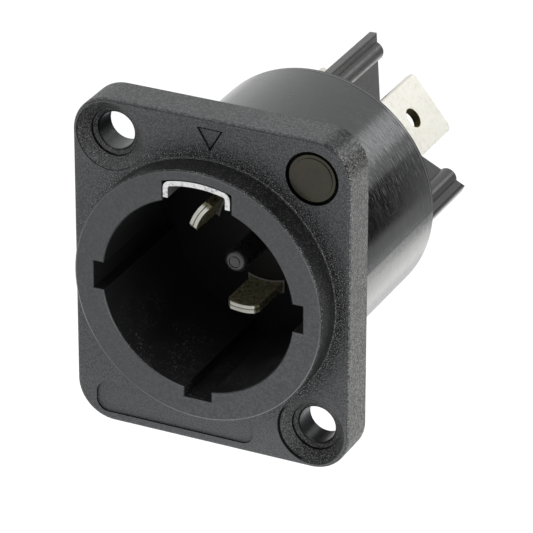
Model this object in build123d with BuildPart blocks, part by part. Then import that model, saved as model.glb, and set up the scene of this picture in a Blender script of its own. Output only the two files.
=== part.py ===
from build123d import *
from math import cos, radians, sin
import os

# A panel-mounted power inlet with a round keyed socket. The origin is the centre of the
# flange's rear face, which lies on the panel. The socket opens towards -Y and the barrel
# with its terminals runs back along +Y. +Z is up, and all lengths are in millimetres.

# flange, collar and barrel
flange_width = 26.0
flange_height = 31.0
flange_thickness = 3.6
flange_corner = 3.5
flange_edge_round = 0.3
collar_radius = 11.7
collar_height = 2.65
collar_edge = 0.2
collar_root = 0.15
barrel_radius = 11.4
barrel_length = 18.1
barrel_edge = 0.4

# socket and its keyways
socket_radius = 9.0
socket_depth = 13.85
side_key_width = 2.57
side_key_radius = 9.88
latch_key_width = 6.45
latch_key_radius = 10.7
latch_key_corner = 0.15
mouth_edge = 0.12

# fixing screws on one diagonal of the flange
screw_spacing_x = 19.0
screw_spacing_z = 24.0
screw_hole_radius = 1.7
screw_seat_radius = 3.15
screw_step_radius = 2.2
screw_step_depth = 1.15

# marks on the flange: bare badge, pointer and bare name recess
badge_inset = 3.55
badge_radius = 2.13
badge_groove = 0.32
badge_depth = 0.5
badge_rim = 0.3
badge_step = 0.08
pointer_width = 2.5
pointer_height = 2.1
pointer_inset = 0.9
plate_width = 15.2
plate_height = 2.9
plate_corner = 1.1
plate_from_side = 1.85
plate_from_bottom = 0.78
mark_depth = 0.2

# contact carrier, put into the barrel from behind
carrier_fit = 0.05
carrier_bore_radius = 10.3
carrier_thickness = 5.0
carrier_key_width = 2.0
carrier_key_height = 0.5
post_radius = 1.06
post_length = 6.5
post_edge = 0.42
post_mark_radius = 0.56
post_mark_width = 0.1
post_mark_depth = 0.12
slot_lip_width = 0.2
slot_lip_height = 0.15
divider_turn = 3.7
divider_reach = 9.6
divider_thickness = 0.68
divider_length = 18.7
divider_edge = 0.12
bead_radius = 0.93
bead_centre = 7.8
hub_radius = 1.3

# contacts, stamped from one strip: a curved blade in front, a flat tab behind
contact_angles = {"line_contact": 30.0, "neutral_contact": 150.0, "earth_contact": 270.0}
strip_thickness = 0.8
blade_thickness = 0.72
blade_radius = 5.2
blade_width = 3.0
blade_length = 4.55
earth_lead = 0.45
blade_corner = 0.35
blade_gap = 0.08
blade_gap_depth = 3.5
slot_depth = 2.0
tab_turn = 9.0
tab_face_radius = 7.0
tab_offset = -0.2
tab_width = 6.2
tab_reach = 18.2
tab_corner = 0.6
tab_bevel = 0.15
tab_hole_radius = 0.93
tab_hole_from_end = 4.4
contact_fit = 0.06

# latch plate, a strip of sheet metal bent round the wide keyway
latch_thickness = 0.45
latch_depth = 6.0
latch_setback = 0.05
latch_fit = 0.03
latch_side_gap = 0.1
latch_bend = 0.7
latch_leg_bottom = 8.8

# depths along Y that several pieces share
flange_front = -flange_thickness
collar_front = flange_front - collar_height
socket_floor = collar_front + socket_depth
carrier_back = socket_floor + carrier_thickness
divider_end = carrier_back + divider_length
slot_back = socket_floor + slot_depth
tab_end = carrier_back + tab_reach
carrier_radius = carrier_bore_radius - carrier_fit
latch_width = latch_key_width - 2 * latch_side_gap

# places on the flange's front
screw_places = [(side * screw_spacing_x / 2, -side * screw_spacing_z / 2) for side in (-1, 1)]
badge_centre = (flange_width / 2 - badge_inset, flange_height / 2 - badge_inset)
pointer_top = flange_height / 2 - pointer_inset
plate_centre = (
    plate_width / 2 + plate_from_side - flange_width / 2,
    plate_height / 2 + plate_from_bottom - flange_height / 2,
)
flange_margin = flange_edge_round + 2 * collar_root

os.makedirs("parts", exist_ok=True)


def across(depth, angle=0.0):
    """Plane at a depth along Y that faces forward, its x axis turned up from +X."""
    turn = radians(angle)
    return Plane(origin=(0, depth, 0), x_dir=(cos(turn), 0, sin(turn)), z_dir=(0, -1, 0))


def arch_outline(top_radius, width, bottom, corner):
    """Upright slot with straight sides, rounded top corners and a top arched about the axis."""
    with BuildSketch() as outline:
        Circle(top_radius)
        with Locations((0, bottom)):
            Rectangle(width, 2 * top_radius, align=(Align.CENTER, Align.MIN), mode=Mode.INTERSECT)
        fillet(outline.vertices().group_by(Axis.Y)[-1], corner)
    return outline.sketch


def divider_outline():
    """Section of one divider: a thin wall from the hub outwards with a round bead near its edge."""
    with BuildSketch() as outline:
        Rectangle(divider_reach, divider_thickness, align=(Align.MIN, Align.CENTER))
        with Locations((bead_centre, 0)):
            Circle(bead_radius)
    return outline.sketch


def blade_outline(fit=0.0):
    """Section of a contact blade, curved about the axis, with its middle on the x axis."""
    with BuildSketch() as outline:
        Circle(blade_radius + blade_thickness / 2 + fit)
        Circle(blade_radius - blade_thickness / 2 - fit, mode=Mode.SUBTRACT)
        with Locations((blade_radius, 0)):
            Rectangle(2 * blade_radius, blade_width + 2 * fit, mode=Mode.INTERSECT)
    return outline.sketch


def root_outline(fit=0.0):
    """Section of a contact where it is cranked from the blade out to the tab."""
    inner = blade_radius - blade_thickness / 2
    crank_length = tab_face_radius - inner + 2 * fit
    tab_middle = Location((tab_face_radius - strip_thickness / 2, tab_offset))
    with BuildSketch() as outline:
        with Locations((inner - fit, 0)):
            Rectangle(crank_length, blade_width + 2 * fit, align=(Align.MIN, Align.CENTER))
        with Locations(Location((0, 0, 0), (0, 0, tab_turn)) * tab_middle):
            Rectangle(strip_thickness + 2 * fit, tab_width + 2 * fit)
    return outline.sketch


# housing: flange, collar and barrel moulded in one
with BuildPart() as housing:
    with BuildSketch(across(0)):
        RectangleRounded(flange_width, flange_height, flange_corner)
    extrude(amount=flange_thickness)
    fillet(housing.faces().sort_by(Axis.Y)[0].outer_wire().edges(), flange_edge_round)
    with BuildSketch(across(flange_front)):
        Circle(collar_radius)
        RectangleRounded(
            flange_width - 2 * flange_margin,
            flange_height - 2 * flange_margin,
            flange_corner - flange_margin,
            mode=Mode.INTERSECT,
        )
    extrude(amount=collar_height)
    chamfer(housing.faces().sort_by(Axis.Y)[0].outer_wire().edges(), collar_edge)
    flange_face = housing.faces().filter_by(Axis.Y).sort_by(Axis.Y)[1]
    fillet(flange_face.inner_wires()[0].edges(), collar_root)
    with BuildSketch(across(barrel_length)):
        Circle(barrel_radius)
    extrude(amount=barrel_length)
    chamfer(housing.faces().sort_by(Axis.Y)[-1].outer_wire().edges(), barrel_edge)

    # socket with three narrow keyways and the wide one for the latch plate
    with BuildSketch(across(socket_floor)):
        Circle(socket_radius)
        for key_angle in (0, 180, 270):
            with Locations(Location((0, 0, 0), (0, 0, key_angle))):
                Rectangle(side_key_radius, side_key_width, align=(Align.MIN, Align.CENTER))
        add(arch_outline(latch_key_radius, latch_key_width, 0, latch_key_corner))
    extrude(amount=socket_depth, mode=Mode.SUBTRACT)
    chamfer(housing.faces().sort_by(Axis.Y)[0].inner_wires()[0].edges(), mouth_edge)

    # bore behind the socket that takes the carrier, with a groove for its key
    with BuildSketch(across(barrel_length)):
        Circle(carrier_bore_radius)
        with Locations((0, -carrier_bore_radius)):
            Rectangle(carrier_key_width + 2 * carrier_fit, 2 * (carrier_key_height + carrier_fit))
    extrude(amount=barrel_length - socket_floor, mode=Mode.SUBTRACT)

    # countersunk and stepped screw holes
    with Locations(*[across(flange_front).location * Location((x, z)) for x, z in screw_places]):
        CounterSinkHole(screw_hole_radius, screw_seat_radius, depth=flange_thickness, counter_sink_angle=90)
        CounterBoreHole(screw_hole_radius, screw_step_radius, screw_step_depth, depth=flange_thickness)

    # seat of the badge, pointer at the top edge and bare name recess
    with BuildSketch(across(flange_front)):
        with Locations(badge_centre):
            Circle(badge_radius + badge_groove)
    extrude(amount=-badge_depth, mode=Mode.SUBTRACT)
    with BuildSketch(across(flange_front)):
        with BuildLine():
            Polyline(
                (-pointer_width / 2, pointer_top),
                (pointer_width / 2, pointer_top),
                (0, pointer_top - pointer_height),
                close=True,
            )
        make_face()
        with Locations(plate_centre):
            RectangleRounded(plate_width, plate_height, plate_corner)
        Circle(collar_radius + collar_root, mode=Mode.SUBTRACT)
    extrude(amount=-mark_depth, mode=Mode.SUBTRACT)
housing.part.label = "housing"
export_step(housing.part, "parts/housing.step")

# contact carrier: floor of the socket, centre post and the three dividers between the tabs
with BuildPart() as contact_carrier:
    with BuildSketch(across(carrier_back)):
        Circle(carrier_radius)
        with Locations((0, -carrier_radius)):
            Rectangle(carrier_key_width, 2 * carrier_key_height)
    extrude(amount=carrier_thickness)
    with BuildSketch(across(socket_floor)):
        Circle(post_radius)
    extrude(amount=post_length)
    fillet(contact_carrier.faces().sort_by(Axis.Y)[0].outer_wire().edges(), post_edge)
    with BuildSketch(across(socket_floor - post_length)):
        Circle(post_mark_radius)
        Circle(post_mark_radius - post_mark_width, mode=Mode.SUBTRACT)
    extrude(amount=-post_mark_depth, mode=Mode.SUBTRACT)
    with BuildSketch(across(divider_end)):
        Circle(hub_radius)
        for divider_angle in (90, 210, 330):
            with Locations(Location((0, 0, 0), (0, 0, divider_angle + divider_turn))):
                add(divider_outline())
    extrude(amount=divider_length)
    chamfer(contact_carrier.faces().sort_by(Axis.Y)[-1].outer_wire().edges(), divider_edge)
    # slots for the contacts, each with a low lip round its mouth
    for contact_angle in contact_angles.values():
        with BuildSketch(across(socket_floor, contact_angle)):
            add(blade_outline(contact_fit + slot_lip_width))
        extrude(amount=slot_lip_height)
        with BuildSketch(across(slot_back, contact_angle)):
            add(blade_outline(contact_fit))
        extrude(amount=slot_depth + slot_lip_height, mode=Mode.SUBTRACT)
        with BuildSketch(across(carrier_back, contact_angle)):
            add(root_outline(contact_fit))
        extrude(amount=carrier_back - slot_back, mode=Mode.SUBTRACT)
contact_carrier.part.label = "contact_carrier"
export_step(contact_carrier.part, "parts/contact_carrier.step")

# the three contacts
for contact_name, contact_angle in contact_angles.items():
    # the earth blade stands out further, so that it touches first
    blade_reach = blade_length + (earth_lead if contact_name == "earth_contact" else 0)
    with BuildPart() as contact:
        with BuildSketch(across(slot_back, contact_angle)):
            add(blade_outline())
        extrude(amount=slot_depth + blade_reach)
        chamfer(contact.edges().group_by(Axis.Y)[0].filter_by(GeomType.LINE), blade_corner)
        # slit between the two leaves of the folded blade
        with BuildSketch(across(socket_floor - blade_reach, contact_angle)):
            Circle(blade_radius + blade_gap / 2)
            Circle(blade_radius - blade_gap / 2, mode=Mode.SUBTRACT)
            with Locations((blade_radius, blade_gap)):
                Rectangle(blade_radius, blade_width, mode=Mode.INTERSECT)
        extrude(amount=-blade_gap_depth, mode=Mode.SUBTRACT)
        with BuildSketch(across(slot_back + strip_thickness, contact_angle)):
            add(root_outline())
        extrude(amount=strip_thickness)
        # flat tab with its hole, rounded end and bevelled edges
        tab_angle = radians(contact_angle + tab_turn)
        outward = Vector(cos(tab_angle), 0, sin(tab_angle))
        tab_plane = Plane(
            origin=outward * tab_face_radius,
            x_dir=(-sin(tab_angle), 0, cos(tab_angle)),
            z_dir=outward,
        )
        with BuildSketch(tab_plane) as tab_outline:
            with Locations((tab_offset, -tab_end)):
                Rectangle(tab_width, tab_end - slot_back, align=(Align.CENTER, Align.MIN))
            fillet(tab_outline.vertices().group_by(Axis.Y)[0], tab_corner)
            with Locations((tab_offset, tab_hole_from_end - tab_end)):
                Circle(tab_hole_radius, mode=Mode.SUBTRACT)
        extrude(amount=-strip_thickness)
        chamfer(contact.edges().filter_by(Axis.Y).sort_by(SortBy.LENGTH)[-4:], tab_bevel)
    contact.part.label = contact_name
    export_step(contact.part, f"parts/{contact_name}.step")

# latch plate in the mouth of the wide keyway
with BuildPart() as latch_plate:
    with BuildSketch(across(collar_front + latch_setback + latch_depth)):
        add(
            arch_outline(
                latch_key_radius - latch_fit,
                latch_width,
                latch_leg_bottom,
                latch_bend,
            )
        )
        add(
            arch_outline(
                latch_key_radius - latch_fit - latch_thickness,
                latch_width - 2 * latch_thickness,
                0,
                latch_bend - latch_thickness,
            ),
            mode=Mode.SUBTRACT,
        )
    extrude(amount=latch_depth)
latch_plate.part.label = "latch_plate"
export_step(latch_plate.part, "parts/latch_plate.step")

# bare badge disc, its middle flush with the flange and its rim a step lower
with BuildPart() as badge_disc:
    with BuildSketch(across(flange_front + badge_depth)):
        with Locations(badge_centre):
            Circle(badge_radius)
    extrude(amount=badge_depth - badge_step)
    with BuildSketch(across(flange_front + badge_step)):
        with Locations(badge_centre):
            Circle(badge_radius - badge_rim)
    extrude(amount=badge_step)
badge_disc.part.label = "badge_disc"
export_step(badge_disc.part, "parts/badge_disc.step")
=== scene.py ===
import math

import bpy
from mathutils import Matrix, Vector


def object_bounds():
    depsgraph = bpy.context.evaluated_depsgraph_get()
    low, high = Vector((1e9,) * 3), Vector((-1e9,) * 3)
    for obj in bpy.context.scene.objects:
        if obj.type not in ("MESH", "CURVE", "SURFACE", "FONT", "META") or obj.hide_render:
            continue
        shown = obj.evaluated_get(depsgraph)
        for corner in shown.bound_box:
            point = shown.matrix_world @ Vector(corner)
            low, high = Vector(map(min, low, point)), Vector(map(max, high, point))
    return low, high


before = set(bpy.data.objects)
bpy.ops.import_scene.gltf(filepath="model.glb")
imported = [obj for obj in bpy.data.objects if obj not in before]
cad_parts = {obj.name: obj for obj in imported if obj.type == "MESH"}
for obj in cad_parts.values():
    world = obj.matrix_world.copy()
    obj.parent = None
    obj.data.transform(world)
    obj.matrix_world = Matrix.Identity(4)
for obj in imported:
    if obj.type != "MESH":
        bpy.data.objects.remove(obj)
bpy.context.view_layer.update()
print("frame loaded, nodes:", sorted(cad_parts))

mm = 0.001

# the camera, as seen from the middle of the flange's front face
view = {
    "azimuth": 25.53,      # degrees to the right of straight on
    "elevation": 26.88,
    "roll": 0.11,
    "distance": 354.64 * mm,
    "aim": (5.339 * mm, -3.6 * mm, 2.859 * mm),
    "focalPixels": 4205.2,
    "imagePixels": 533.0,
    "sensor": 36.0,
    "shift": (-0.5, 0.5),  # pixels
    "clip": (0.01, 10),
}


def makeCamera():
    az, el, roll = (math.radians(view[k]) for k in ("azimuth", "elevation", "roll"))
    back = Vector((math.sin(az) * math.cos(el), -math.cos(az) * math.cos(el), math.sin(el)))
    side = Vector((0, 0, 1)).cross(back).normalized()
    up = back.cross(side)
    right = math.cos(roll) * side + math.sin(roll) * up
    data = bpy.data.cameras.new("photoCamera")
    data.sensor_width = view["sensor"]
    data.lens = view["focalPixels"] / view["imagePixels"] * view["sensor"]
    data.shift_x, data.shift_y = (s / view["imagePixels"] for s in view["shift"])
    data.clip_start, data.clip_end = view["clip"]
    camera = bpy.data.objects.new("photoCamera", data)
    turn = Matrix((right, back.cross(right), back)).transposed().to_4x4()
    camera.matrix_world = Matrix.Translation(Vector(view["aim"]) + back * view["distance"]) @ turn
    bpy.context.scene.collection.objects.link(camera)
    bpy.context.scene.camera = camera


makeCamera()
print("camera placed")

# soft studio light, with places and sizes in mm
studio = {
    "lamps": [             # name, place, size, watts
        ("topSoftbox", (-80, -40, 420), (360, 360), 0.6),
        ("backSoftbox", (168, 347, 160), (80, 110), 0.05),
        ("rightPanel", (430, -40, 60), (300, 260), 0.9),
        ("frontPanel", (-45, -195, -120), (110, 110), 0.58),
    ],
    "aim": (0, 8, 0),
    # a light patch on the table behind, which the barrel's lower flank mirrors
    "tableLight": ("tableLight", (32, 105, -58), (48, 80), 0.0095),
    "tableColour": (1.0, 1.0, 0.94),
    "ambient": 0.75,
    "backdrop": 1.0,
    "floorDrop": 45,       # below the flange's lower edge
    "floorSize": 4000,
    "floorColour": (0.86, 0.86, 0.86, 1),
    "floorGlow": 0.2,
    # black and grey cards behind on the right, which only show as reflections on the barrel and
    # the dividers: name, tone, place across, from and to along the barrel, from and to upwards
    "cards": [
        ("barrelCard", 0.0, 30, (27, 43), (-7, 12)),
        ("dividerCard", 0.5, 30, (58, 100), (-34, 8)),
        ("greyCard", 0.6, 66, (50, 160), (-58, 18)),
    ],
}


def addAreaLight(name, place, size, watts):
    data = bpy.data.lights.new(name, "AREA")
    data.shape = "RECTANGLE"
    data.size, data.size_y = size[0] * mm, size[1] * mm
    data.energy = watts
    lamp = bpy.data.objects.new(name, data)
    lamp.location = Vector(place) * mm
    bpy.context.scene.collection.objects.link(lamp)
    return lamp


def makeLamps():
    for settings in studio["lamps"]:
        lamp = addAreaLight(*settings)
        direction = Vector(studio["aim"]) * mm - lamp.location
        lamp.rotation_euler = direction.to_track_quat("-Z", "Y").to_euler()


def makeTableLight():
    lamp = addAreaLight(*studio["tableLight"])
    lamp.data.color = studio["tableColour"]
    lamp.rotation_euler = (math.pi, 0, 0)  # shines straight up
    lamp.visible_camera = False


def emptyTree(owner):
    owner.use_nodes = True
    owner.node_tree.nodes.clear()
    return owner.node_tree.nodes, owner.node_tree.links


def seenRay(nodes, links):
    # 1 for camera, glossy and transmission rays
    path = nodes.new("ShaderNodeLightPath")
    seen = path.outputs["Is Camera Ray"]
    for ray in ("Is Glossy Ray", "Is Transmission Ray"):
        either = nodes.new("ShaderNodeMath")
        either.operation = "MAXIMUM"
        links.new(seen, either.inputs[0])
        links.new(path.outputs[ray], either.inputs[1])
        seen = either.outputs[0]
    return seen


def makeWorld():
    world = bpy.data.worlds.new("studioWorld")
    bpy.context.scene.world = world
    nodes, links = emptyTree(world)
    mix = nodes.new("ShaderNodeMixShader")
    links.new(seenRay(nodes, links), mix.inputs[0])
    for strength, socket in ((studio["ambient"], mix.inputs[1]), (studio["backdrop"], mix.inputs[2])):
        white = nodes.new("ShaderNodeBackground")
        white.inputs["Color"].default_value = (1, 1, 1, 1)
        white.inputs["Strength"].default_value = strength
        links.new(white.outputs[0], socket)
    links.new(mix.outputs[0], nodes.new("ShaderNodeOutputWorld").inputs[0])


def addSheet(name, paintName, corners):
    # one flat face and its empty material
    mesh = bpy.data.meshes.new(name)
    mesh.from_pydata(corners, [], [(0, 1, 2, 3)])
    sheet = bpy.data.objects.new(name, mesh)
    bpy.context.scene.collection.objects.link(sheet)
    paint = bpy.data.materials.new(paintName)
    mesh.materials.append(paint)
    return sheet, *emptyTree(paint)


def makeFloor():
    half = studio["floorSize"] * mm / 2
    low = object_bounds()[0][2] - studio["floorDrop"] * mm
    corners = [(-half, -half, low), (half, -half, low), (half, half, low), (-half, half, low)]
    floor, nodes, links = addSheet("floor", "paleFloor", corners)
    add = nodes.new("ShaderNodeAddShader")
    paint = nodes.new("ShaderNodeBsdfDiffuse")
    glow = nodes.new("ShaderNodeEmission")
    scale = nodes.new("ShaderNodeMath")
    scale.operation = "MULTIPLY"
    scale.inputs[1].default_value = studio["floorGlow"]
    paint.inputs["Color"].default_value = studio["floorColour"]
    links.new(seenRay(nodes, links), scale.inputs[0])
    links.new(scale.outputs[0], glow.inputs["Strength"])
    links.new(paint.outputs[0], add.inputs[0])
    links.new(glow.outputs[0], add.inputs[1])
    links.new(add.outputs[0], nodes.new("ShaderNodeOutputMaterial").inputs[0])


def makeCards():
    for name, tone, x, (near, far), (low, high) in studio["cards"]:
        corners = [(x, near, low), (x, far, low), (x, far, high), (x, near, high)]
        card, nodes, links = addSheet(name, name, [Vector(c) * mm for c in corners])
        glow = nodes.new("ShaderNodeEmission")
        glow.inputs["Strength"].default_value = tone
        links.new(glow.outputs[0], nodes.new("ShaderNodeOutputMaterial").inputs[0])
        for ray in ("camera", "diffuse", "shadow", "transmission"):
            setattr(card, "visible_" + ray, False)


makeLamps()
makeTableLight()
makeWorld()
makeFloor()
makeCards()
print("studio ready")


def near(place, margins):
    # from and to, in mm: a place with its two margins
    return place + margins[0], place + margins[1]


class Recipe:
    # a material with short calls for its nodes; a value may be a number or a socket, and an area
    # is a value from 0 outside it to 1 inside it

    def __init__(self, name):
        self.mat = bpy.data.materials.new(name)
        self.nodes, self.links = emptyTree(self.mat)
        out = self.nodes.new("ShaderNodeOutputMaterial")
        self.shader = self.nodes.new("ShaderNodeBsdfPrincipled")
        self.links.new(self.shader.outputs[0], out.inputs[0])
        self.place = self.nodes.new("ShaderNodeTexCoord").outputs["Object"]
        parts = self.nodes.new("ShaderNodeSeparateXYZ")
        self.links.new(self.place, parts.inputs[0])
        self.x, self.y, self.z = parts.outputs

    def feed(self, value, socket):
        if isinstance(value, bpy.types.NodeSocket):
            self.links.new(value, socket)
        elif isinstance(value, tuple) and len(value) == 3 and len(socket.default_value) == 4:
            socket.default_value = (*value, 1.0)
        else:
            socket.default_value = value

    def maths(self, operation, first, second=0.0, clamp=False):
        node = self.nodes.new("ShaderNodeMath")
        node.operation = operation
        node.use_clamp = clamp
        self.feed(first, node.inputs[0])
        self.feed(second, node.inputs[1])
        return node.outputs[0]

    def plus(self, first, second):
        return self.maths("ADD", first, second)

    def minus(self, first, second):
        return self.maths("SUBTRACT", first, second)

    def both(self, first, *others):
        # an area inside all of these, or an area made weaker by a number
        for other in others:
            first = self.maths("MULTIPLY", first, other)
        return first

    def either(self, first, *others):
        for other in others:
            first = self.maths("MAXIMUM", first, other)
        return first

    def beyond(self, area):
        # everything outside an area
        return self.minus(1.0, area)

    def ramp(self, value, low, high, start=0.0, end=1.0):
        # start below low, end above high, smooth between
        node = self.nodes.new("ShaderNodeMapRange")
        node.interpolation_type = "SMOOTHSTEP"
        self.feed(value, node.inputs["Value"])
        for name, number in (("From Min", low), ("From Max", high), ("To Min", start), ("To Max", end)):
            node.inputs[name].default_value = number
        return node.outputs[0]

    def rise(self, value, low, high, start=0.0, end=1.0):
        # the same with low and high in mm
        return self.ramp(value, low * mm, high * mm, start, end)

    def fall(self, value, low, high, start=1.0, end=0.0):
        # the other way round
        return self.rise(value, low, high, start, end)

    def between(self, value, low, high, soft=0.02):
        return self.both(self.rise(value, low - soft, low + soft),
                         self.fall(value, high - soft, high + soft))

    def arc(self, angle, start, end):
        # comes in over the first pair of angles and goes out over the second
        return self.both(self.ramp(angle, *start), self.ramp(angle, *end, 1.0, 0.0))

    def length(self, first, second):
        squares = self.plus(self.both(first, first), self.both(second, second))
        return self.maths("SQRT", squares)

    def radius(self, centre=(0.0, 0.0)):
        # distance in metres from an axis along y
        return self.length(self.minus(self.x, centre[0] * mm), self.minus(self.z, centre[1] * mm))

    def towards(self, x, z, direction):
        # how far a point lies in one direction
        return self.plus(self.both(x, direction[0]), self.both(z, direction[1]))

    def vector(self, x, y, z):
        node = self.nodes.new("ShaderNodeCombineXYZ")
        for value, socket in zip((x, y, z), node.inputs):
            self.feed(value, socket)
        return node.outputs[0]

    def noise(self, size, detail=2.0, roughness=0.5, place=None):
        # size of one patch in mm
        node = self.nodes.new("ShaderNodeTexNoise")
        self.links.new(place or self.place, node.inputs["Vector"])
        node.inputs["Scale"].default_value = 1 / (size * mm)
        node.inputs["Detail"].default_value = detail
        node.inputs["Roughness"].default_value = roughness
        return node.outputs["Fac"]

    def patches(self, noise, span, start=0.0, end=1.0, place=None):
        # noise settings, and the stretch of its height over which a patch fades in
        return self.ramp(self.noise(*noise, place=place), *span, start, end)

    def blendNumber(self, area, off, on):
        node = self.nodes.new("ShaderNodeMix")
        node.data_type = "FLOAT"
        for value, socket in ((area, 0), (off, 2), (on, 3)):
            self.feed(value, node.inputs[socket])
        return node.outputs[0]

    def blendColour(self, area, off, on):
        node = self.nodes.new("ShaderNodeMix")
        node.data_type = "RGBA"
        for value, socket in ((area, 0), (off, 6), (on, 7)):
            self.feed(value, node.inputs[socket])
        return node.outputs[2]

    def bump(self, height, depth, under=None):
        # depth in mm for a full step of height
        node = self.nodes.new("ShaderNodeBump")
        node.inputs["Strength"].default_value = 1.0
        node.inputs["Distance"].default_value = depth * mm
        self.feed(height, node.inputs["Height"])
        if under:
            self.links.new(under, node.inputs["Normal"])
        return node.outputs[0]

    def finish(self, colour, roughness, normal, metallic=0.0):
        self.feed(colour, self.shader.inputs["Base Color"])
        self.feed(roughness, self.shader.inputs["Roughness"])
        self.feed(metallic, self.shader.inputs["Metallic"])
        self.links.new(normal, self.shader.inputs["Normal"])
        return self.mat


def dress(nodeName, mat):
    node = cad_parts[nodeName]
    node.data.materials.clear()
    node.data.materials.append(mat)


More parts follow.
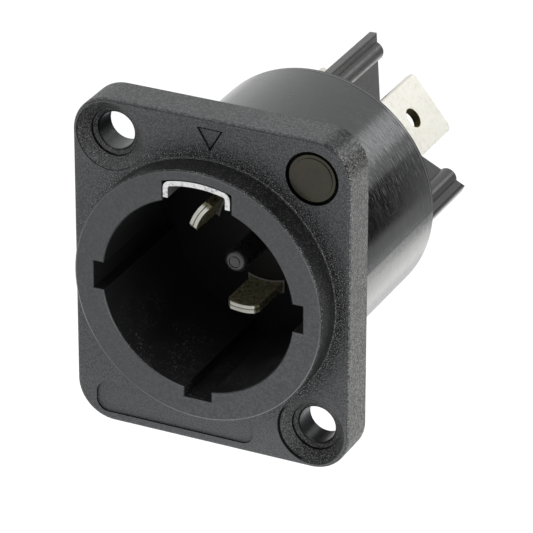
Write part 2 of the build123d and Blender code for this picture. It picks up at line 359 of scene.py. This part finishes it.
# moulded black plastic of the flange, collar, barrel and socket: lengths in mm from the socket's axis
# and the flange's rear face, angles in radians, and pairs for the stretch over which an area fades
housingLook = {
    "darkColour": (0.004, 0.004, 0.0042),
    "flangeColour": (0.042, 0.043, 0.046),
    # painted light: the flange front is lighter towards its lower left corner
    "litLowColour": (0.062, 0.065, 0.072),
    "litLowPits": (0.036, 0.037, 0.040),
    # painted light: the flange's left and right sides are lighter than its top and bottom, and lighter
    # lower down
    "litSideColour": (0.070, 0.069, 0.064),
    "litSideLowColour": (0.088, 0.087, 0.078),
    "topColour": (0.045, 0.046, 0.047),
    "collarColour": (0.021, 0.0215, 0.0228),
    # painted light: the collar's lower right half is lighter
    "litCollarColour": (0.034, 0.0352, 0.038),
    "barrelColour": (0.052, 0.052, 0.050),
    # painted highlight on the barrel's fine lines
    "fineLineHighlight": (0.13, 0.13, 0.125),
    # painted shade: the collar's flank is near black
    "flankColour": (0.0035, 0.0035, 0.0035),
    # painted shade: the inside of the socket is near black
    "socketShadeColour": (0.0028, 0.0028, 0.0028),
    "coneColour": (0.058, 0.058, 0.058),
    # painted shade in black lines along creases, grooves and edges
    "shadeLineColour": (0.002, 0.002, 0.002),
    # painted shade in the screw bores
    "boreShadeColour": (0.002, 0.002, 0.002),
    # painted glints
    "glintColour": (0.42, 0.42, 0.40),
    "dustColour": (0.12, 0.12, 0.12),
    # painted highlight along the collar's lower rim and the barrel's rear rim
    "rimHighlightColour": (0.10, 0.101, 0.104),

    "flangeRoughness": 0.52,
    "collarRoughness": 0.4,
    "barrelRoughness": (0.08, 0.21),   # in and between the lines
    "barrelLowRoughness": 0.12,        # more on its lower flank
    "socketRoughness": 0.5,
    "boreRoughness": 0.32,
    "specular": 0.82,
    "specularTint": (0.955, 0.975, 1.0, 1.0),

    # the mould's sizes
    "frontY": -6.25,
    "flangeFrontY": -3.6,
    "barrelEnd": 17.7,
    "socketRadius": 10.95,
    "barrelRadius": 11.2,
    "collarRadius": 11.6,
    "cornerPlace": (9.5, 12.0),
    "cornerRadius": 3.5,
    "frontEdge": 0.3,
    "screws": ((-9.5, 12.0), (9.5, -12.0)),
    "boreRadius": 1.76,
    "stepRadius": 2.2,
    "coneRadius": 3.15,
    "badgePlace": (9.45, 11.95),
    "badgeSeat": (2.12, 2.47),
    "pointerTop": 14.6,
    "pointerTip": 12.5,
    "pointerHalf": 1.25,

    # margins of the areas, measured from those sizes
    "socketWall": (-0.03, 0.03),
    "socketMouth": (0.02, 0.14),
    "barrelWall": (-0.1, 0.0),
    "flangeBack": (0.0, 0.05),
    "collarFoot": (-0.08, -0.02),
    "collarFlank": (-0.05, 0.0),
    "sideMargin": (0.12, 0.2),
    "edgeMargin": (-0.05, 0.12),
    "edgeSoft": 0.04,
    "edgeDepth": (0.12, 0.2),
    "topShadeLine": (0.06, 0.14),
    "topLineHeight": (14.0, 15.0),
    "topLineShare": 0.6,
    "recessDepth": (0.03, 0.17),
    "recessSoft": 0.015,
    "recessReach": (-0.3, -0.2),
    "recessTop": (-10.5, -10.0),
    "recessFoot": (0.0, 0.05),
    "pointerInside": (0.0, 0.02),
    "pointerDepth": (0.1, 0.5),
    "pointerWide": (-0.19, 0.05),
    "pointerThin": (-0.05, 0.05),
    "badgeDepth": (0.05, 0.6),
    "boreMargin": (0.0, 0.06),
    "coneMargin": (-0.04, 0.0),
    "coneShadeLine": (-0.045, 0.01),
    "coneLineEnd": (-1.5, 1.0),
    "stepShadeLine": (-0.05, 0.01),
    "coneFace": (0.1, -0.06),
    "coneShade": ((-0.8, 0.6), (0.3, -0.95)),  # towards the dark side of each cone
    "coneShadeReach": (0.3, 2.6),
    "boreShadeReach": (-1.6, -0.3),
    "holesInFront": (-0.3, -0.15),
    "rimMargin": (-0.13, -0.03),
    "rimSoft": 0.03,
    "rimDepth": (0.1, 0.2),
    "rimHeight": (-5.0, 1.0),
    "rimHighlight": (-0.32, -0.24),
    "rimShade": (-0.48, -0.38),

    # where the tones change over a face
    "lowCornerHeight": (-14.0, -8.0),
    "lowCornerAcross": (-11.0, 2.0),
    "lowCornerLeft": 0.25,
    "sideAcross": (10.5, 12.8),
    "sideHeight": (-8.0, 6.0),
    "sideBands": (((0.85, 1.02), (1.15, 1.45)), ((0.05, 0.3), (0.5, 0.75))),
    "bandReach": (0.0, 5.0),
    "collarTurn": (0.0, 16.0),
    "barrelLowFlank": (-0.75, -0.25),
    "fineLineArc": ((0.22, 0.6), (0.75, 1.1)),
    "shadePatchArc": ((-0.15, 0.1), (0.3, 0.55)),
    "shadePatchReach": (4.0, 12.0),
    "footRing": (11.7, 14.1),
    "footDepth": (-0.02, 0.3),
    "footAbove": (1.0, 9.0),
    "footRight": (3.0, 9.0),
    "glintRing": (11.9, 14.0),
    "dustWallHeight": (-6.0, -2.0),
    "dustWallDepth": (0.0, 4.0),
    "dustWallEnd": 0.15,

    # grain and lines: size in mm, detail, roughness, then the stretch of the height that shows
    "grain": (0.13, 1.5, 0.6),
    "grainPeaks": (0.42, 0.60),
    "grainDepth": 0.07,
    "coarseGrain": (0.39, 1.0),
    "coarseShare": 0.5,
    "grainShare": {"side": 2.4, "collar": 0.35, "smooth": 0.03, "bore": 0.15},
    "sidePeaks": ((0.234, 1.0, 0.6), (0.47, 0.57)),
    "collarPeaks": ((0.22, 2.0), (0.3, 0.7)),
    "streaks": (0.12, 2.0, 0.7),
    "streakLength": 0.5,               # mm for a radian, so that one patch runs far round
    "streakDepth": 0.009,
    "streakLight": (0.56, 0.64),
    "streakDull": (0.50, 0.64),
    "streakRough": (0.3, 0.7),
    "fineLines": (0.075, 1.0, 0.6),
    "fineLineLength": 0.7,
    "fineLineLight": (0.58, 0.68),
    "fineLineDull": (0.33, 0.43),
    "glints": ((0.1, 0.0), (0.60, 0.74)),
    "glintShare": {"side": 0.6, "edges": 0.3, "foot": 0.6, "rest": 0.15, "flank": 0.3},
    "footShadeSpeckles": ((0.09, 1.0), (0.43, 0.61)),
    "footPeak": 0.1,
    "dustSpecks": ((0.11, 0.0), (0.72, 0.82)),
    "dustPatches": ((2.5, 2.0), (0.35, 0.65)),
    "dustLines": ((0.1, 1.0, 0.6), (0.58, 0.68)),
    "dustLineStretch": 0.35,
    "dustShare": {"outside": 0.6, "socket": 0.2},
    # how much of the sheen is lost, mostly as painted shade and painted dark reflections
    "dullShare": {"line": 0.9, "flank": 0.6, "socket": 0.35, "streak": 0.35, "fineLine": 0.8,
                  "foot": 0.9, "cone": 0.8, "bore": 0.85, "band": 0.65, "rim": 0.7},
}


def housingAreas(m, look):
    r = m.radius()
    area = {"radius": r, "angle": m.maths("ARCTAN2", m.z, m.x)}
    area["socket"] = m.both(m.fall(r, *near(look["socketRadius"], look["socketWall"])),
                            m.rise(m.y, *near(look["frontY"], look["socketMouth"])))
    area["barrel"] = m.both(m.rise(r, *near(look["barrelRadius"], look["barrelWall"])),
                            m.rise(m.y, *look["flangeBack"]))
    area["collar"] = m.fall(m.y, *near(look["flangeFrontY"], look["collarFoot"]))
    area["flank"] = m.both(area["collar"], m.rise(r, *near(look["collarRadius"], look["collarFlank"])))
    addFlangeAreas(m, look, area)
    addHoleAreas(m, look, area)
    # painted shade in dark lines on the hole edges, badge groove, recess wall, pointer outline and top edge
    area["lines"] = m.either(area["holeLines"], badgeGroove(m, look), recessWall(m, look, area),
                             pointerOutline(m, look), area["topShadeLine"])
    return area


def addFlangeAreas(m, look, area):
    # how far out from the straight middle of the flange, up to the corner radius on its sides
    overX, overZ = (
        m.either(m.minus(m.maths("ABSOLUTE", value), half * mm), 0.0)
        for value, half in zip((m.x, m.z), look["cornerPlace"])
    )
    rim = m.length(overX, overZ)
    edgeStart = look["cornerRadius"] - look["frontEdge"]
    area["rim"] = rim
    area["side"] = m.both(m.rise(rim, *near(edgeStart, look["sideMargin"])),
                          m.fall(m.y, *look["flangeBack"]))
    area["edge"] = m.both(m.between(rim, *near(edgeStart, look["edgeMargin"]), look["edgeSoft"]),
                          m.fall(m.y, *near(look["flangeFrontY"], look["edgeDepth"])))
    # painted shade: a dark line along the top of the front edge
    area["topShadeLine"] = m.both(m.between(rim, *near(edgeStart, look["topShadeLine"])), area["edge"],
                             m.rise(m.z, *look["topLineHeight"], 0.0, look["topLineShare"]))
    # two painted dark reflection bands on the top right corner
    corner = m.maths("ARCTAN2", overZ, overX)
    bands = m.either(*(m.arc(corner, *band) for band in look["sideBands"]))
    area["bands"] = m.both(bands, area["side"],
                           m.rise(m.x, *look["bandReach"]), m.rise(m.z, *look["bandReach"]))


def addHoleAreas(m, look, area):
    # screw holes: bore, step, cone, painted dark lines on their sharp edges and painted shade on their
    # shaded sides
    bore = cone = holeLines = coneShade = boreShade = 0.0
    for centre, shadeSide in zip(look["screws"], look["coneShade"]):
        reach = m.radius(centre)
        fromX, fromZ = m.minus(m.x, centre[0] * mm), m.minus(m.z, centre[1] * mm)
        inHole = m.fall(reach, *near(look["boreRadius"], look["boreMargin"]))
        bore = m.either(inHole, bore)
        boreShade = m.either(m.both(inHole, m.fall(fromX, *look["boreShadeReach"])), boreShade)
        cone = m.either(m.fall(reach, *near(look["coneRadius"], look["coneMargin"])), cone)
        faceStart, faceEnd = look["coneFace"]
        face = m.between(reach, look["boreRadius"] + faceStart, look["coneRadius"] + faceEnd)
        shaded = m.rise(m.towards(fromX, fromZ, shadeSide), *look["coneShadeReach"])
        coneShade = m.either(m.both(face, shaded), coneShade)
        # painted shade: a black line round each cone, on its lower left only
        coneShadeLine = m.both(m.between(reach, *near(look["coneRadius"], look["coneShadeLine"])),
                          m.fall(m.plus(fromX, fromZ), *look["coneLineEnd"]))
        stepShadeLine = m.between(reach, *near(look["stepRadius"], look["stepShadeLine"]))
        holeLines = m.either(coneShadeLine, stepShadeLine, holeLines)
    inFront = m.fall(m.y, *look["holesInFront"])
    area["bore"], area["boreShade"] = bore, boreShade
    area["cone"], area["holeLines"], area["coneShade"] = (
        m.both(mask, inFront) for mask in (cone, holeLines, coneShade)
    )


def badgeGroove(m, look):
    # painted shade in the groove left open round the disc
    return m.both(m.between(m.radius(look["badgePlace"]), *look["badgeSeat"]),
                  m.between(m.y, *near(look["flangeFrontY"], look["badgeDepth"])))


def recessWall(m, look, area):
    # painted shade on the low wall round the shallow recess in the lower left corner
    edgeStart = look["cornerRadius"] - look["frontEdge"]
    return m.both(
        m.between(m.y, *near(look["flangeFrontY"], look["recessDepth"]), look["recessSoft"]),
        m.fall(area["rim"], *near(edgeStart, look["recessReach"])),
        m.fall(m.z, *look["recessTop"]),
        m.rise(area["radius"], *near(look["collarRadius"], look["recessFoot"])),
    )


def pointerOutline(m, look):
    # painted shade along the triangle's outline, wider on its right and top sides; distances out from the
    # triangle's right, left and top side
    drop = look["pointerTop"] - look["pointerTip"]
    slant = math.hypot(drop, look["pointerHalf"])
    fromTip = m.minus(m.z, look["pointerTip"] * mm)
    right, left = (
        m.towards(m.x, fromTip, (sign * drop / slant, -look["pointerHalf"] / slant)) for sign in (1, -1)
    )
    top = m.minus(m.z, look["pointerTop"] * mm)
    lines = m.either(m.between(right, *look["pointerWide"]), m.between(top, *look["pointerWide"]),
                     m.between(left, *look["pointerThin"]))
    return m.both(lines, m.fall(m.either(right, left, top), *look["pointerInside"]),
                  m.between(m.y, *near(look["flangeFrontY"], look["pointerDepth"])))


def roundBarrel(m, area, noise, length):
    # noise in patches that are long round the axis and narrow along it
    return m.noise(*noise, place=m.vector(m.both(area["angle"], length * mm), m.y, 0.0))


def housingNormal(m, look, area):
    # spark-eroded grain, strongest on the sides, weak on the collar, hardly any on smooth walls
    share = look["grainShare"]
    height = m.plus(area["grain"], m.both(m.noise(*look["coarseGrain"]), look["coarseShare"]))
    strength = m.blendNumber(m.either(area["side"], area["cone"]), 1.0, share["side"])
    strength = m.blendNumber(area["collar"], strength, share["collar"])
    strength = m.blendNumber(m.either(area["socket"], area["barrel"]), strength, share["smooth"])
    strength = m.blendNumber(area["bore"], strength, share["bore"])
    normal = m.bump(m.both(height, strength), look["grainDepth"])
    return m.bump(m.both(area["streaks"], area["barrel"]), look["streakDepth"], normal)


def flangeColour(m, look, area):
    # rubbed peaks of the grain are lighter than its pits
    # painted light: lighter towards the lower left corner of the front
    litLowCorner = m.both(m.fall(m.z, *look["lowCornerHeight"]),
                       m.rise(m.x, *look["lowCornerAcross"], look["lowCornerLeft"]))
    front = m.blendColour(litLowCorner, look["flangeColour"], look["litLowColour"])
    pits = m.blendColour(litLowCorner, look["darkColour"], look["litLowPits"])
    front = m.blendColour(area["peaks"], pits, front)
    # painted light: the sides are lighter than the top and bottom, and lighter lower down
    side = m.blendColour(m.rise(m.z, *look["sideHeight"]), look["litSideLowColour"], look["litSideColour"])
    side = m.blendColour(area["across"], look["topColour"], side)
    side = m.blendColour(m.patches(*look["sidePeaks"]), look["darkColour"], side)
    return m.blendColour(area["side"], front, side)


def collarColour(m, look, area, colour):
    # painted light on the collar's lower right half
    litHalf = m.rise(m.minus(m.x, m.z), *look["collarTurn"])
    collar = m.blendColour(litHalf, look["collarColour"], look["litCollarColour"])
    collar = m.blendColour(m.patches(*look["collarPeaks"]), look["darkColour"], collar)
    colour = m.blendColour(area["collar"], colour, collar)
    # painted shade on the collar's flank
    colour = m.blendColour(area["flank"], colour, look["flankColour"])
    # painted highlight along the collar's lower rim
    rimWidth = near(look["collarRadius"], look["rimMargin"])
    rimHighlightLine = m.both(m.between(area["radius"], *rimWidth, look["rimSoft"]),
                     m.fall(m.y, *near(look["frontY"], look["rimDepth"])),
                     m.fall(m.z, *look["rimHeight"]))
    return m.blendColour(rimHighlightLine, colour, look["rimHighlightColour"])


def barrelColour(m, look, area, colour):
    streaks = m.ramp(area["streaks"], *look["streakLight"])
    barrel = m.blendColour(streaks, look["darkColour"], look["barrelColour"])
    # painted highlight: where the dark reflection meets the light one on the upper right, the fine lines
    # are painted light and sharper
    light = m.both(m.ramp(area["fineLines"], *look["fineLineLight"]), area["meeting"])
    barrel = m.blendColour(light, barrel, look["fineLineHighlight"])
    # painted shade: a dark patch on the barrel's right side near the flange
    paintedShadePatch = m.both(m.arc(area["angle"], *look["shadePatchArc"]), m.fall(m.y, *look["shadePatchReach"]))
    barrel = m.blendColour(paintedShadePatch, barrel, look["darkColour"])
    colour = m.blendColour(area["barrel"], colour, barrel)
    # painted highlight on the barrel's rear rim
    return m.blendColour(rearRim(m, look, area, "rimHighlight"), colour, look["rimHighlightColour"])


def rearRim(m, look, area, margin):
    return m.both(m.between(m.y, *near(look["barrelEnd"], look[margin]), look["rimSoft"]), area["barrel"])


def addGlints(m, look, area, colour):
    # painted glints on the grain, many on the sides, in the cones, along the front edge and round the
    # collar's foot
    share = look["glintShare"]
    often = m.either(m.both(area["side"], area["across"], share["side"]),
                     m.both(m.either(area["edge"], area["cone"]), share["edges"]),
                     m.fall(area["radius"], *look["glintRing"], share["foot"]), share["rest"])
    smooth = m.either(area["socket"], area["barrel"], area["collar"])
    often = m.both(often, m.ramp(smooth, 0.0, 1.0, 1.0, 0.0))
    often = m.either(often, m.both(area["flank"], share["flank"]))
    return m.blendColour(m.both(m.patches(*look["glints"]), often), colour, look["glintColour"])


def addDust(m, look, area, colour):
    share = look["dustShare"]
    patches = m.patches(*look["dustPatches"])
    dust = m.both(m.patches(*look["dustSpecks"]), patches,
                  m.blendNumber(area["socket"], share["outside"], share["socket"]))
    # on the socket's lower wall it lies in lines, and painted shade makes them fade deeper into the socket
    stretched = m.vector(m.x, m.both(m.y, look["dustLineStretch"]), m.z)
    lowWall = m.both(area["socket"], m.fall(m.z, *look["dustWallHeight"]),
                     m.fall(m.y, *look["dustWallDepth"], 1.0, look["dustWallEnd"]))
    dust = m.either(dust, m.both(m.patches(*look["dustLines"], place=stretched), patches, lowWall))
    return m.blendColour(dust, colour, look["dustColour"])


def housingColour(m, look, area):
    colour = flangeColour(m, look, area)
    colour = collarColour(m, look, area, colour)
    colour = barrelColour(m, look, area, colour)
    cone = m.blendColour(area["peaks"], look["darkColour"], look["coneColour"])
    colour = m.blendColour(area["cone"], colour, cone)
    colour = addGlints(m, look, area, colour)
    # painted shade inside the socket
    colour = m.blendColour(area["socket"], colour, look["socketShadeColour"])
    # painted shade in the screw bores
    colour = m.blendColour(area["bore"], colour, look["boreShadeColour"])
    colour = addDust(m, look, area, colour)
    # painted shade in black lines
    return m.blendColour(area["lines"], colour, look["shadeLineColour"])


def housingDull(m, look, area):
    # painted shade: black lines, shaded sides, the collar's flank, the socket and the speckled painted
    # shade by the collar's foot give back little light, as do the painted dark reflections on the barrel
    # and the corner bands
    share = look["dullShare"]
    streaks = m.both(m.ramp(area["streaks"], *look["streakDull"]), area["barrel"])
    fineLines = m.both(m.ramp(area["fineLines"], *look["fineLineDull"], 1.0, 0.0),
                       area["meeting"], area["barrel"])
    # painted shade next to the collar's foot, on its upper and right side, in speckles
    footSide = m.either(m.rise(m.plus(m.x, m.z), *look["footAbove"]), m.rise(m.x, *look["footRight"]))
    foot = m.both(m.fall(area["radius"], *look["footRing"], share["foot"]), footSide,
                  m.between(m.y, *near(look["flangeFrontY"], look["footDepth"])))
    pits = m.patches(*look["footShadeSpeckles"], 1.0, look["footPeak"])
    return m.either(
        m.both(area["lines"], share["line"]),
        m.both(area["flank"], share["flank"]),
        m.both(area["socket"], share["socket"]),
        m.both(streaks, share["streak"]),
        m.both(fineLines, share["fineLine"]),
        m.both(m.either(foot, m.both(area["coneShade"], share["cone"])), pits),
        m.both(area["boreShade"], share["bore"]),
        m.both(area["bands"], share["band"]),
        # painted shade: a dark line inside the barrel's rear rim
        m.both(rearRim(m, look, area, "rimShade"), share["rim"]),
    )


def housingRoughness(m, look, area):
    roughness = m.blendNumber(area["collar"], look["flangeRoughness"], look["collarRoughness"])
    barrel = m.ramp(area["streaks"], *look["streakRough"], *look["barrelRoughness"])
    barrel = m.plus(barrel, m.ramp(area["angle"], *look["barrelLowFlank"], look["barrelLowRoughness"], 0.0))
    roughness = m.blendNumber(area["barrel"], roughness, barrel)
    roughness = m.blendNumber(area["socket"], roughness, look["socketRoughness"])
    return m.blendNumber(area["bore"], roughness, look["boreRoughness"])


def housingFinish():
    look = housingLook
    m = Recipe("housingPlastic")
    area = housingAreas(m, look)
    area["across"] = m.rise(m.maths("ABSOLUTE", m.x), *look["sideAcross"])
    area["grain"] = m.noise(*look["grain"])
    area["peaks"] = m.ramp(area["grain"], *look["grainPeaks"])
    area["streaks"] = roundBarrel(m, area, look["streaks"], look["streakLength"])
    area["fineLines"] = roundBarrel(m, area, look["fineLines"], look["fineLineLength"])
    area["meeting"] = m.arc(area["angle"], *look["fineLineArc"])
    m.shader.inputs["Specular IOR Level"].default_value = look["specular"]
    m.shader.inputs["Specular Tint"].default_value = look["specularTint"]
    return m.finish(housingColour(m, look, area), housingRoughness(m, look, area),
                    housingNormal(m, look, area), housingDull(m, look, area))


dress("housing", housingFinish())

# the moulding behind the socket, which also stands between the tabs
carrierLook = {
    # painted shade: the carrier inside the socket is near black
    "socketShadeColour": (0.002, 0.002, 0.002),
    # painted highlight on the lips round the blade slots
    "lipHighlightColour": (0.13, 0.13, 0.128),
    # painted shade on the socket's floor
    "floorColour": (0.004, 0.004, 0.004),
    # painted light: the post is lighter than the rest of the carrier
    "litPostColour": (0.035, 0.035, 0.035),
    # painted highlight along the dividers' edges
    "stripHighlightColour": (0.035, 0.035, 0.037),
    "darkColour": (0.012, 0.012, 0.0125),
    "lightColour": (0.017, 0.0172, 0.018),
    "roughness": (0.25, 0.32),
    "floorRoughness": 0.42,
    "specular": 0.62,
    "dullShare": {"floor": 0.7, "shadeSeam": 0.8, "postEdgeShade": 0.5},
    "cloud": ((1.2, 3.0), (0.3, 0.7)),
    "fineGrain": (0.12, 2.0),
    "finePeaks": (0.35, 0.65),
    "fineDepth": 0.005,
    "dividerAngles": (93.7, 213.7, 333.7),
    "edgeReach": 9.6,
    "seamMargin": (-0.3, -0.18),
    "stripMargin": (-0.08, -0.03),
    "floorY": 7.6,
    "raisedMargin": (-0.1, -0.05),
    "floorMargin": (0.2, 0.3),
    "backY": 12.6,
    "backMargin": (-0.1, 0.0),
    "postRadius": (1.3, 1.35),
    "postFace": (0.74, 0.86),
    "lipHeight": (-0.17, -0.03),
    "lipInside": (3.5, 3.6),
}


def dividerEdges(m, look):
    # painted shade as a dark seam and painted highlight as a lighter edge strip along each divider
    shadeSeam = highlightStrip = 0.0
    for angle in look["dividerAngles"]:
        turn = math.radians(angle)
        out = m.towards(m.x, m.z, (math.cos(turn), math.sin(turn)))
        shadeSeam = m.either(m.between(out, *near(look["edgeReach"], look["seamMargin"])), shadeSeam)
        highlightStrip = m.either(m.rise(out, *near(look["edgeReach"], look["stripMargin"])), highlightStrip)
    return shadeSeam, highlightStrip


def carrierFinish():
    look = carrierLook
    share = look["dullShare"]
    m = Recipe("carrierPlastic")
    r = m.radius()
    behind = m.rise(m.y, *near(look["backY"], look["backMargin"]))
    raised = m.fall(m.y, *near(look["floorY"], look["raisedMargin"]))
    # deep in the socket the carrier is rougher, and painted shade makes it dull and dark
    mattShadedFloor = m.both(m.beyond(raised), m.beyond(behind))
    shadedFloor = m.both(mattShadedFloor, m.fall(m.y, *near(look["floorY"], look["floorMargin"])))
    post = m.both(m.fall(r, *look["postRadius"]), raised)
    litLip = m.both(m.between(m.y, *near(look["floorY"], look["lipHeight"])), m.rise(r, *look["lipInside"]))
    shadeSeam, highlightStrip = (m.both(mask, behind) for mask in dividerEdges(m, look))

    grain = m.noise(*look["fineGrain"])
    colour = m.blendColour(m.ramp(grain, *look["finePeaks"]), look["darkColour"], look["lightColour"])
    # painted shade: the carrier inside the socket is near black
    colour = m.blendColour(behind, look["socketShadeColour"], colour)
    # painted shade on the socket's floor
    colour = m.blendColour(shadedFloor, colour, look["floorColour"])
    # painted light on the post
    colour = m.blendColour(post, colour, look["litPostColour"])
    # painted highlight along the dividers' edges, painted shade in their seams
    colour = m.blendColour(highlightStrip, colour, look["stripHighlightColour"])
    colour = m.blendColour(shadeSeam, colour, look["socketShadeColour"])
    # painted highlight on the lips
    colour = m.blendColour(litLip, colour, look["lipHighlightColour"])
    roughness = m.blendNumber(mattShadedFloor, m.ramp(m.patches(*look["cloud"]), 0.0, 1.0, *look["roughness"]),
                              look["floorRoughness"])
    # painted shade: a dark ring round the post's end face
    postEdgeShade = m.both(post, m.rise(r, *look["postFace"]))
    dull = m.either(m.both(mattShadedFloor, share["floor"]), m.both(shadeSeam, share["shadeSeam"]),
                    m.both(postEdgeShade, share["postEdgeShade"]))
    m.shader.inputs["Specular IOR Level"].default_value = look["specular"]
    return m.finish(colour, roughness, m.bump(grain, look["fineDepth"]), dull)


dress("contact_carrier", carrierFinish())

# plated strip of the three contacts: bright tabs and blade ends, dull blade flanks
contactLook = {
    "colour": (0.70, 0.69, 0.63),
    "stain": (0.50, 0.46, 0.34),
    "flankColour": (0.58, 0.53, 0.31),
    "flankStain": (0.20, 0.185, 0.11),
    "endColour": (1.0, 0.99, 0.90),
    "edgeColour": (0.30, 0.27, 0.14),
    "roughness": (0.34, 0.48),
    "flankRoughness": 0.45,
    "endRoughness": 0.55,
    "flankMetal": 0.7,
    "endMetal": 0.95,
    "cloud": ((0.5, 4.0, 0.65), (0.42, 0.75)),
    "pits": ((0.09, 1.0), (0.62, 0.74)),
    "stainShare": {"cloud": 0.22, "pits": 0.35},
    "mottle": ((0.3, 4.0, 0.7), (0.40, 0.62)),
    "grain": (0.12, 2.0),
    "grainDepth": 0.006,
    "endGrain": 0.15,
    "flankMargin": (0.1, 1.0),         # from the blade's end, and past the socket's floor
    "flankSoft": 0.03,
    "endMargin": (0.05, 0.1),
    "floorY": 7.6,
    "holeY": 26.4,
    "holeRadius": 0.93,
    "holeMargin": (0.01, 0.05),
    "holeOffset": -0.2,
    "tabTurn": 9.0,
    # name, turn about the socket's axis in degrees, place of the blade's end
    "contacts": (("line", 30, 3.05), ("neutral", 150, 3.05), ("earth", 270, 2.6)),
}


def tabHoleEdge(m, look, turn):
    angle = math.radians(turn + look["tabTurn"])
    across = m.towards(m.x, m.z, (-math.sin(angle), math.cos(angle)))
    across = m.minus(across, look["holeOffset"] * mm)
    reach = m.length(across, m.minus(m.y, look["holeY"] * mm))
    return m.fall(reach, *near(look["holeRadius"], look["holeMargin"]))


def contactFinish(name, turn, bladeEnd):
    look = contactLook
    share = look["stainShare"]
    m = Recipe("platedStrip" + name)
    flankStart, flankEnd = look["flankMargin"]
    onFlank = m.between(m.y, bladeEnd + flankStart, look["floorY"] + flankEnd, look["flankSoft"])
    atEnd = m.fall(m.y, *near(bladeEnd, look["endMargin"]))

    cloud = m.patches(*look["cloud"])
    pits = m.patches(*look["pits"])
    stain = m.maths("ADD", m.both(cloud, share["cloud"]), m.both(pits, share["pits"]), True)
    colour = m.blendColour(stain, look["colour"], look["stain"])
    flank = m.blendColour(m.patches(*look["mottle"]), look["flankColour"], look["flankStain"])
    colour = m.blendColour(onFlank, colour, flank)
    colour = m.blendColour(atEnd, colour, look["endColour"])
    colour = m.blendColour(tabHoleEdge(m, look, turn), colour, look["edgeColour"])
    roughness = m.ramp(cloud, 0.0, 1.0, *look["roughness"])
    roughness = m.blendNumber(onFlank, roughness, look["flankRoughness"])
    roughness = m.blendNumber(atEnd, roughness, look["endRoughness"])
    metal = m.blendNumber(onFlank, 1.0, look["flankMetal"])
    metal = m.blendNumber(atEnd, metal, look["endMetal"])
    grain = m.both(m.noise(*look["grain"]), m.blendNumber(atEnd, 1.0, look["endGrain"]))
    return m.finish(colour, roughness, m.bump(grain, look["grainDepth"]), metal)


for contact in contactLook["contacts"]:
    dress(contact[0] + "_contact", contactFinish(*contact))

# blanked and bent spring steel
latchLook = {
    "colour": (0.68, 0.68, 0.68),
    "scuff": (0.32, 0.32, 0.32),
    "roughness": (0.32, 0.50),
    "scratches": (0.07, 3.0, 0.6),
    "stretch": 0.3,                    # scratches are longer across than along the socket
    "scuffed": (0.45, 0.75),
    "roughened": (0.3, 0.7),
    "depth": 0.008,
}


def latchFinish():
    look = latchLook
    m = Recipe("latchSteel")
    stretched = m.vector(m.both(m.x, look["stretch"]), m.y, m.both(m.z, look["stretch"]))
    scratches = m.noise(*look["scratches"], place=stretched)
    colour = m.blendColour(m.ramp(scratches, *look["scuffed"]), look["colour"], look["scuff"])
    roughness = m.ramp(scratches, *look["roughened"], *look["roughness"])
    return m.finish(colour, roughness, m.bump(scratches, look["depth"]), 1.0)


dress("latch_plate", latchFinish())

# small glossy disc in the corner
badgeLook = {
    "colour": (0.014, 0.012, 0.005),
    "cloudColour": (0.004, 0.004, 0.002),
    "specularTint": (1.0, 0.97, 0.84, 1.0),
    "roughness": (0.22, 0.32),
    "cloud": (0.8, 3.0),
    "clouded": (0.3, 0.7),
    "ripple": (0.3, 2.0),
    "rippleDepth": 0.006,
}


def badgeFinish():
    look = badgeLook
    m = Recipe("badgeEnamel")
    cloud = m.noise(*look["cloud"])
    colour = m.blendColour(m.ramp(cloud, *look["clouded"]), look["cloudColour"], look["colour"])
    roughness = m.ramp(cloud, *look["clouded"], *look["roughness"])
    m.shader.inputs["Specular Tint"].default_value = look["specularTint"]
    return m.finish(colour, roughness, m.bump(m.noise(*look["ripple"]), look["rippleDepth"]))


dress("badge_disc", badgeFinish())
print("finishes on")

bpy.context.scene.view_settings.view_transform = "Standard"
